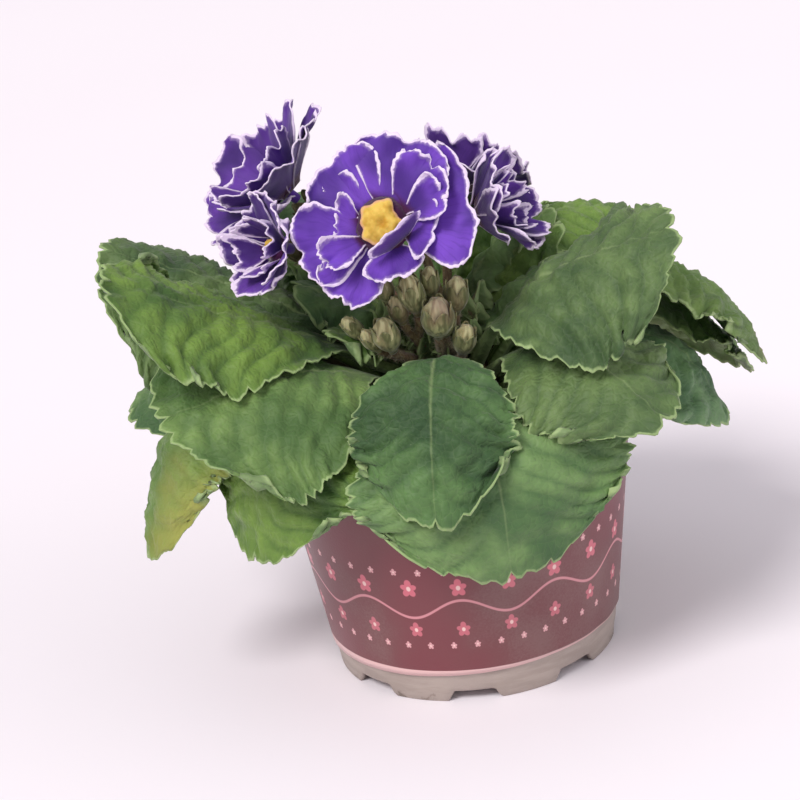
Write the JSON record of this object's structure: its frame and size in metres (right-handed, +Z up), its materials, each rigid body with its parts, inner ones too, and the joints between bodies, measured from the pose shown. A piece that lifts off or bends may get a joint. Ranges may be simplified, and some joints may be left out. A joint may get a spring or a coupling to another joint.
{
  "type": "potted primrose",
  "caption": "Double-flowered primrose with violet, pale-edged blooms and crinkled leaves in a round plastic nursery pot.",
  "frame": {"origin": "middle of the pot's foot on the surface it stands on, within 1 mm of the middle of the part's box", "axes": "+Z up, the front of the plant with its main bloom faces -Y, +X to its right seen from the front"},
  "size_m": [0.1769, 0.1435, 0.1579],
  "materials": {
    "pot_plastic": "satin moulded",
    "sleeve_print": "glossy print",
    "compost": "loose, fibrous",
    "crown_skin": "matt",
    "leaf_green": "soft, slightly shiny",
    "stem_green": "downy",
    "petal_violet": "velvety",
    "eye_yellow": "matt"
  },
  "bodies": {
    "root": {"bloom_back": "petal_violet", "bloom_left": "petal_violet", "bloom_low": "petal_violet", "bloom_main": "petal_violet", "bloom_right": "petal_violet", "bud_1": "stem_green", "bud_2": "stem_green", "bud_3": "stem_green", "bud_4": "stem_green", "bud_5": "stem_green", "compost": "compost", "crown": "crown_skin", "eye_back": "eye_yellow", "eye_left": "eye_yellow", "eye_low": "eye_yellow", "eye_main": "eye_yellow", "eye_right": "eye_yellow", "label_sleeve": "sleeve_print", "leaf_low_back": "leaf_green", "leaf_low_back_left": "leaf_green", "leaf_low_back_right": "leaf_green", "leaf_low_far_left": "leaf_green", "leaf_low_front": "leaf_green", "leaf_low_front_left": "leaf_green", "leaf_low_left": "leaf_green", "leaf_low_right": "leaf_green", "leaf_mid_back": "leaf_green", "leaf_mid_back_left": "leaf_green", "leaf_mid_back_right": "leaf_green", "leaf_mid_front": "leaf_green", "leaf_mid_front_left": "leaf_green", "leaf_mid_front_right": "leaf_green", "leaf_mid_left": "leaf_green", "leaf_mid_right": "leaf_green", "leaf_top_back": "leaf_green", "leaf_top_back_left": "leaf_green", "leaf_top_back_right": "leaf_green", "leaf_top_left": "leaf_green", "leaf_top_right": "leaf_green", "pot": "pot_plastic", "stalk_back": "stem_green", "stalk_left": "stem_green", "stalk_low": "stem_green", "stalk_main": "stem_green", "stalk_right": "stem_green"}
  },
  "joints": []
}
